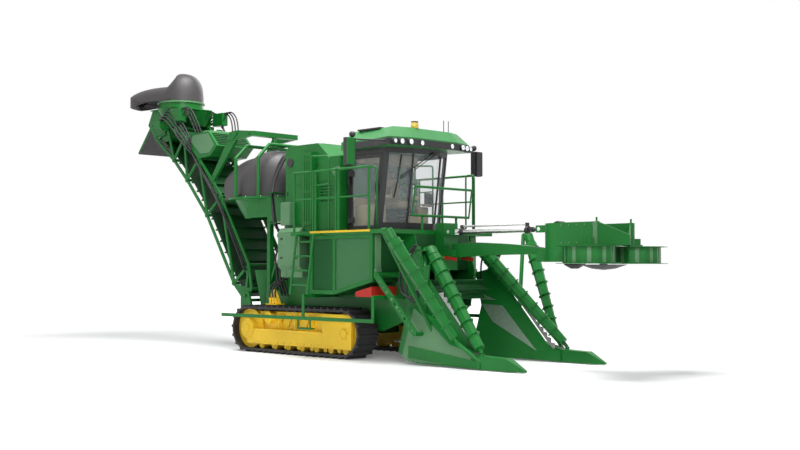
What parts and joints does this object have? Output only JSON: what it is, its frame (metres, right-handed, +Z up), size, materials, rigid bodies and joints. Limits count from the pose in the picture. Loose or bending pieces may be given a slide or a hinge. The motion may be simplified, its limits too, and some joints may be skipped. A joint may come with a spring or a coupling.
{
  "type": "tracked sugarcane harvester",
  "caption": "Tracked cane harvester with crop dividers, a raised topper, a glazed cab, a rear extractor hood and a slewing slat elevator",
  "frame": {"origin": "on the ground under the middle of the machine's overall length and width", "axes": "+X forwards to the topper, +Y to the driver's left, +Z up"},
  "size_m": [12.7699, 3.6234, 5.7675],
  "materials": {
    "green_paint": "satin",
    "yellow_paint": "satin",
    "black_paint": "satin",
    "red_paint": "satin",
    "track_rubber": "matt",
    "hood_plastic": "matt",
    "bare_steel": "brushed",
    "window_glass": "clear",
    "cab_trim": "matt"
  },
  "bodies": {
    "root": {"main_frame": "green_paint", "side_plates": "green_paint", "extractor_tower": "green_paint", "feed_train_block": "black_paint", "platform": "green_paint", "edge_stripes": "yellow_paint", "side_tanks": "green_paint", "side_panels": "green_paint", "valve_boxes": "green_paint", "supply_box": "red_paint", "guard_bars": "green_paint", "engine_housing": "green_paint", "cooler_columns": "green_paint", "cab_shell": "green_paint", "cab_glass": "window_glass", "cab_roof": "green_paint", "roof_visor": "black_paint", "cab_interior": "cab_trim", "mirrors": "hood_plastic", "extractor_chamber": "green_paint", "topper_mast": "green_paint", "track_right": "track_rubber", "track_left": "track_rubber", "track_frames": "yellow_paint", "track_wheels": "yellow_paint", "ladders": "green_paint", "handrails_right": "green_paint", "handrails_left": "green_paint", "front_rail": "green_paint"},
    "door": {"cab_door": "black_paint", "door_glass": "window_glass"},
    "hood": {"primary_hood": "hood_plastic", "hood_frame": "green_paint"},
    "fan": {"primary_fan": "green_paint"},
    "turntable": {"elevator_turntable": "green_paint", "elevator_bowl": "green_paint", "slew_arch": "green_paint"},
    "elevator": {"elevator_frame": "green_paint", "elevator_chain": "black_paint", "secondary_barrel": "green_paint"},
    "flap": {"bin_flap": "hood_plastic"},
    "top_hood": {"secondary_hood": "hood_plastic"},
    "top_fan": {"secondary_fan": "green_paint"},
    "topper_arm": {"topper_boom": "green_paint"},
    "topper_rod": {"topper_link": "bare_steel"},
    "topper": {"topper_head": "green_paint"},
    "topper_cutter": {"topper_disc": "black_paint"},
    "gatherer_right": {"topper_drum_right": "green_paint"},
    "gatherer_left": {"topper_drum_left": "green_paint"},
    "divider_right": {"divider_right": "green_paint"},
    "divider_left": {"divider_left": "green_paint"},
    "scroll_right_inner": {"scroll_right_inner": "green_paint"},
    "scroll_right_outer": {"scroll_right_outer": "green_paint"},
    "scroll_left_inner": {"scroll_left_inner": "green_paint"},
    "scroll_left_outer": {"scroll_left_outer": "green_paint"},
    "knockdown": {"knockdown_roller": "green_paint"},
    "feed": {"feed_roller": "green_paint"},
    "cutter_right": {"base_cutter_right": "green_paint"},
    "cutter_left": {"base_cutter_left": "green_paint"}
  },
  "joints": [
    {"name": "hood_turn", "type": "hinge", "parent": "root", "child": "hood", "pos_m": [-2.01, 0, 2.86], "axis": [0, 0, 1], "range_deg": [-60, 60]},
    {"name": "primary_fan_spin", "type": "hinge", "parent": "root", "child": "fan", "pos_m": [-2.01, 0, 2.86], "axis": [0, 0, 1], "continuous": true},
    {"name": "elevator_slew", "type": "hinge", "parent": "root", "child": "turntable", "pos_m": [-2.01, 0, 0.64], "axis": [0, 0, 1], "range_deg": [-85, 85]},
    {"name": "elevator_lift", "type": "hinge", "parent": "turntable", "child": "elevator", "pos_m": [-2.26, 0, 1], "axis": [0, 1, 0], "range_deg": [-28, 0]},
    {"name": "flap_swing", "type": "hinge", "parent": "elevator", "child": "flap", "pos_m": [-5.76, 0, 4.66], "axis": [0, 1, 0], "range_deg": [-20, 55]},
    {"name": "secondary_hood_turn", "type": "hinge", "parent": "elevator", "child": "top_hood", "pos_m": [-5.26, 0, 5.14], "axis": [0, 0, 1], "range_deg": [-120, 60]},
    {"name": "secondary_fan_spin", "type": "hinge", "parent": "elevator", "child": "top_fan", "pos_m": [-5.26, 0, 4.98], "axis": [0, 0, 1], "continuous": true},
    {"name": "topper_lift", "type": "hinge", "parent": "root", "child": "topper_arm", "pos_m": [2.83, 0, 1.78], "axis": [0, -1, 0], "range_deg": [-20, 35]},
    {"name": "topper_link_turn", "type": "hinge", "parent": "root", "child": "topper_rod", "pos_m": [2.79, 0, 2.13], "axis": [0, -1, 0], "range_deg": [-20, 35]},
    {"name": "topper_level", "type": "hinge", "parent": "topper_arm", "child": "topper", "pos_m": [4.71, 0, 1.78], "axis": [0, -1, 0], "range_deg": [-35, 20]},
    {"name": "topper_disc_spin", "type": "hinge", "parent": "topper", "child": "topper_cutter", "pos_m": [5.74, 0, 1.5], "axis": [0, 0, 1], "continuous": true},
    {"name": "gatherer_right_spin", "type": "hinge", "parent": "topper", "child": "gatherer_right", "pos_m": [5.905, -0.6, 1.6], "axis": [0, 0, 1], "continuous": true},
    {"name": "gatherer_left_spin", "type": "hinge", "parent": "topper", "child": "gatherer_left", "pos_m": [5.905, 0.6, 1.6], "axis": [0, 0, 1], "continuous": true},
    {"name": "divider_right_lift", "type": "hinge", "parent": "root", "child": "divider_right", "pos_m": [2.2, -1.245, 1.42], "axis": [0, -1, 0], "range_deg": [0, 12]},
    {"name": "scroll_right_inner_spin", "type": "hinge", "parent": "divider_right", "child": "scroll_right_inner", "pos_m": [4.23, -1.04, 0.32], "axis": [-0.6671, 0.1881, 0.7209], "continuous": true},
    {"name": "scroll_right_outer_spin", "type": "hinge", "parent": "divider_right", "child": "scroll_right_outer", "pos_m": [3.9, -1.24, 0.47], "axis": [-0.4797, -0.2537, 0.8399], "continuous": true},
    {"name": "divider_left_lift", "type": "hinge", "parent": "root", "child": "divider_left", "pos_m": [2.2, 1.245, 1.42], "axis": [0, -1, 0], "range_deg": [0, 12]},
    {"name": "scroll_left_inner_spin", "type": "hinge", "parent": "divider_left", "child": "scroll_left_inner", "pos_m": [4.23, 1.04, 0.32], "axis": [-0.6671, -0.1881, 0.7209], "continuous": true},
    {"name": "scroll_left_outer_spin", "type": "hinge", "parent": "divider_left", "child": "scroll_left_outer", "pos_m": [3.9, 1.24, 0.47], "axis": [-0.4797, 0.2537, 0.8399], "continuous": true},
    {"name": "knockdown_spin", "type": "hinge", "parent": "root", "child": "knockdown", "pos_m": [2.8, 0, 1.18], "axis": [0, 1, 0], "continuous": true},
    {"name": "feed_spin", "type": "hinge", "parent": "root", "child": "feed", "pos_m": [2.42, 0, 0.9], "axis": [0, 1, 0], "continuous": true},
    {"name": "base_cutter_right_spin", "type": "hinge", "parent": "root", "child": "cutter_right", "pos_m": [2.09, -0.305, 0.3], "axis": [0, 0, 1], "continuous": true},
    {"name": "base_cutter_left_spin", "type": "hinge", "parent": "root", "child": "cutter_left", "pos_m": [2.09, 0.305, 0.3], "axis": [0, 0, 1], "continuous": true},
    {"name": "door_swing", "type": "hinge", "parent": "root", "child": "door", "pos_m": [1.03, -0.78, 3.47], "axis": [0, 0, -1], "range_deg": [0, 38]}
  ],
  "couplings": [
    {"joint": "topper_link_turn", "follows": "topper_lift", "ratio": 1},
    {"joint": "topper_level", "follows": "topper_lift", "ratio": -1}
  ]
}
